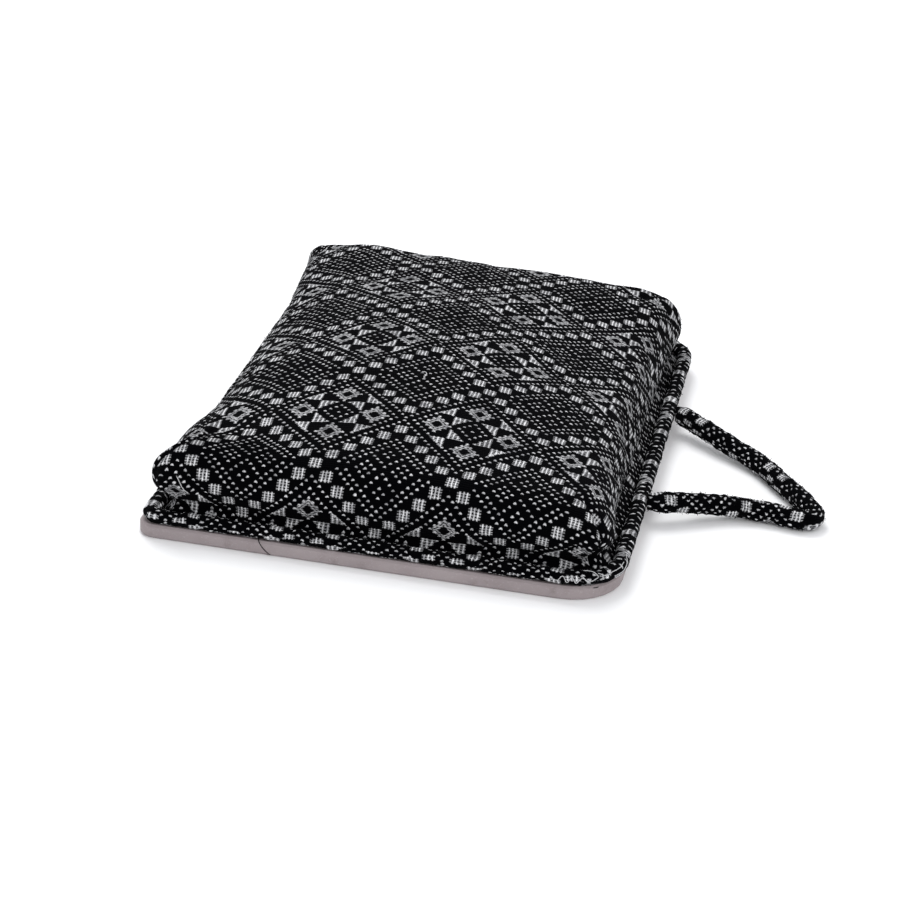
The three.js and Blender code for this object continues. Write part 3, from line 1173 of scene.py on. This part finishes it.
def cloth_material(name, wander):
    """Black cotton with white floats that are unevenly bright, and the relief of its threads."""
    made, tree, shader = new_material(name)
    place = object_place(tree)
    u, v = cloth_place(tree, place, wander)
    white, weave, domes = woven_pattern(tree, u, v)
    fine = noise(tree, place, FIBRE_SCALE, 3)
    cloudy = noise(tree, place, CLOUD_SCALE, 3)
    white = white * fine.ramp(*FRAY_EDGE)
    wear = fine * FIBRE_WEAR + weave * WEAVE_WEAR
    dullness = scattered(tree, u, v) * CELL_DULLNESS + cloudy * CLOUD_DULLNESS - DULLNESS_DROP
    ground = mix_colours(tree, wear.ramp(*WEAR_EDGE), GROUND_COLOUR, WORN_GROUND_COLOUR)
    thread = mix_colours(tree, dullness.ramp(*DULL_EDGE), FLOAT_COLOUR, DULL_FLOAT_COLOUR)
    tree.links.new(mix_colours(tree, white, ground, thread), shader.inputs["Base Color"])
    roughness = white * -FLOAT_SMOOTHNESS + fine * FIBRE_ROUGHNESS + CLOTH_ROUGHNESS
    tree.links.new(roughness.socket, shader.inputs["Roughness"])
    shader.inputs["Specular IOR Level"].default_value = 0.02
    shader.inputs["Sheen Weight"].default_value = 0.004
    shader.inputs["Sheen Roughness"].default_value = 0.5
    height = domes + weave * WEAVE_RELIEF_SHARE + fine * FIBRE_RELIEF_SHARE
    add_relief(tree, shader, height, 1, THREAD_RELIEF)
    return made


def thread_material(name, colour):
    """Twisted cotton, with painted shade between its plies: patches of noise darken its colour."""
    made, tree, shader = new_material(name)
    twist = noise(tree, object_place(tree), TWIST_SCALE, 2)
    # Painted shade: the thread's colour darkened in noisy patches, standing in for the shade between its
    # plies
    ply_shade_colour = tuple(channel * TWIST_PAINTED_SHADE for channel in colour[:3]) + (1,)
    shaded = mix_colours(tree, twist.ramp(*TWIST_EDGE), colour, ply_shade_colour)
    tree.links.new(shaded, shader.inputs["Base Color"])
    shader.inputs["Roughness"].default_value = 0.9
    shader.inputs["Specular IOR Level"].default_value = 0.1
    add_relief(tree, shader, twist, 0.5, TWIST_RELIEF)
    return made


def board_material():
    """Greige fibreboard: clouded, smudged, with fine pits and lighter rubbed spots."""
    made, tree, shader = new_material("board_greige")
    place = object_place(tree)
    cloudy = noise(tree, place, STAIN_SCALE, 4, 0.6)
    smudges = noise(tree, place, SMUDGE_SCALE, 5, 0.7)
    fine = noise(tree, place, PIT_SCALE, 3)
    base = mix_colours(tree, cloudy.ramp(*STAIN_EDGE), BOARD_COLOUR, BOARD_SHADE)
    smudged = mix_colours(tree, smudges.ramp(*SMUDGE_EDGE), base, BOARD_SMUDGE)
    worn = mix_colours(tree, fine.ramp(*RUB_EDGE), smudged, BOARD_RUBBED)
    tree.links.new(worn, shader.inputs["Base Color"])
    roughness = smudges * -SMUDGE_SMOOTHNESS + BOARD_ROUGHNESS
    tree.links.new(roughness.socket, shader.inputs["Roughness"])
    add_relief(tree, shader, fine + smudges * SMUDGE_RELIEF_SHARE, 0.25, BOARD_RELIEF)
    return made


def paint(piece, *materials):
    piece.data.materials.clear()
    for material in materials:
        piece.data.materials.append(material)


# The camera: its place in metres, its turns, and its lens and sensor in millimetres
CAMERA_PLACE = Vector((0.306003, -1.667077, 0.802137))
CAMERA_AZIMUTH = math.radians(9.810)
CAMERA_ELEVATION = math.radians(25.755)
CAMERA_ROLL = math.radians(3.83)
CAMERA_LENS = 98.27
CAMERA_SENSOR = 36
CAMERA_NEAR = 0.05
CAMERA_FAR = 50

# Floor and light. Each light: its name, place, aim, size and power.
FLOOR_REACH = 9000
FLOOR_COLOUR = (0.93, 0.93, 0.935, 1)
SKY_COLOUR = (0.97, 0.98, 1, 1)
SKY_STRENGTH = 0.9
LIGHTS = [
    ("key_light", (-0.6, 0.9, 1.9), (0, 0, 0), 1.4, 26),
    ("fill_light", (1.3, -1.6, 1.3), (0, 0, 0.05), 1.2, 12),
]


def camera_turn():
    """The camera's turn, from its azimuth, its elevation and its roll."""
    flat = math.cos(CAMERA_ELEVATION)
    ahead_x = -math.sin(CAMERA_AZIMUTH) * flat
    ahead_y = math.cos(CAMERA_AZIMUTH) * flat
    ahead = Vector((ahead_x, ahead_y, -math.sin(CAMERA_ELEVATION)))
    level = ahead.cross(Vector((0, 0, 1))).normalized()
    upright = level.cross(ahead)
    right = level * math.cos(CAMERA_ROLL) + upright * math.sin(CAMERA_ROLL)
    up = right.cross(ahead)
    return Matrix((right, up, -ahead)).transposed()


def make_camera():
    data = bpy.data.cameras.new("camera")
    data.lens = CAMERA_LENS
    data.sensor_width = CAMERA_SENSOR
    data.clip_start = CAMERA_NEAR
    data.clip_end = CAMERA_FAR
    camera = bpy.data.objects.new("camera", data)
    camera.matrix_world = Matrix.Translation(CAMERA_PLACE) @ camera_turn().to_4x4()
    bpy.context.scene.collection.objects.link(camera)
    bpy.context.scene.camera = camera


def make_floor():
    corners = [[x * FLOOR_REACH, y * FLOOR_REACH, 0] for x, y in ((-1, -1), (1, -1), (1, 1), (-1, 1))]
    floor = mesh_object("floor", corners, [[0, 1, 2, 3]])
    made, _, shader = new_material("pale_floor")
    shader.inputs["Base Color"].default_value = FLOOR_COLOUR
    shader.inputs["Roughness"].default_value = 0.7
    paint(floor, made)


def make_sky():
    world = bpy.data.worlds.new("studio")
    world.use_nodes = True
    background = world.node_tree.nodes["Background"]
    background.inputs["Color"].default_value = SKY_COLOUR
    background.inputs["Strength"].default_value = SKY_STRENGTH
    bpy.context.scene.world = world
    bpy.context.scene.view_settings.view_transform = "Standard"


def area_light(name, place, aim, size, power):
    data = bpy.data.lights.new(name, "AREA")
    data.shape = "DISK"
    data.size = size
    data.energy = power
    light = bpy.data.objects.new(name, data)
    light.location = place
    light.rotation_mode = "QUATERNION"
    light.rotation_quaternion = (Vector(aim) - Vector(place)).to_track_quat("-Z", "Y")
    bpy.context.scene.collection.objects.link(light)


# The material slot that each cloth piece takes its finish from
SLOTS = {"cushion": "cover_cloth", "piping": "trim_cloth", "handle": "trim_cloth"}


def dress_covers(pieces, cloths, threads):
    """Gives each cover its cloth and its fibres, in place of its node."""
    chance = random.Random(SEED)
    for node, count in FUZZ_COUNTS.items():
        piece = pieces[node]
        paint(piece, cloths[SLOTS[node]])
        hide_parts(node)
        fibres = fuzz(node + "_fuzz", piece, count, chance)
        paint(fibres, *threads)
        for made in (piece, fibres):
            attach(made, "root")


def add_loose_threads(pieces, threads):
    for name, node, is_white, points in LOOSE_THREADS:
        thread = loose_thread(name, pieces[node], points)
        paint(thread, threads[is_white])
        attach(thread, "root")


def main():
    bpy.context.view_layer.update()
    make_camera()
    make_floor()
    make_sky()
    for light in LIGHTS:
        area_light(*light)
    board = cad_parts["board"]
    paint(board, board_material())
    pieces = {"cushion": make_cushion(), "piping": make_piping(), "handle": make_handle(), "board": board}
    cloths = {slot: cloth_material(slot, wander) for slot, wander in CLOTH_WANDER.items()}
    dark_thread = thread_material("dark_thread", DARK_THREAD_COLOUR)
    white_thread = thread_material("white_thread", WHITE_THREAD_COLOUR)
    threads = (dark_thread, white_thread)
    dress_covers(pieces, cloths, threads)
    add_loose_threads(pieces, threads)


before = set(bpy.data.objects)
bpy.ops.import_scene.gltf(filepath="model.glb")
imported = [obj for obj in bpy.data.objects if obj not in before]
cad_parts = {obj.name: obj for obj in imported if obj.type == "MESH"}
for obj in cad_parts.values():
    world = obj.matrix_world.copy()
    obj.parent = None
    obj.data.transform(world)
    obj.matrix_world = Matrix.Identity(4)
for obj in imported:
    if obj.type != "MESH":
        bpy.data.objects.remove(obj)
main()
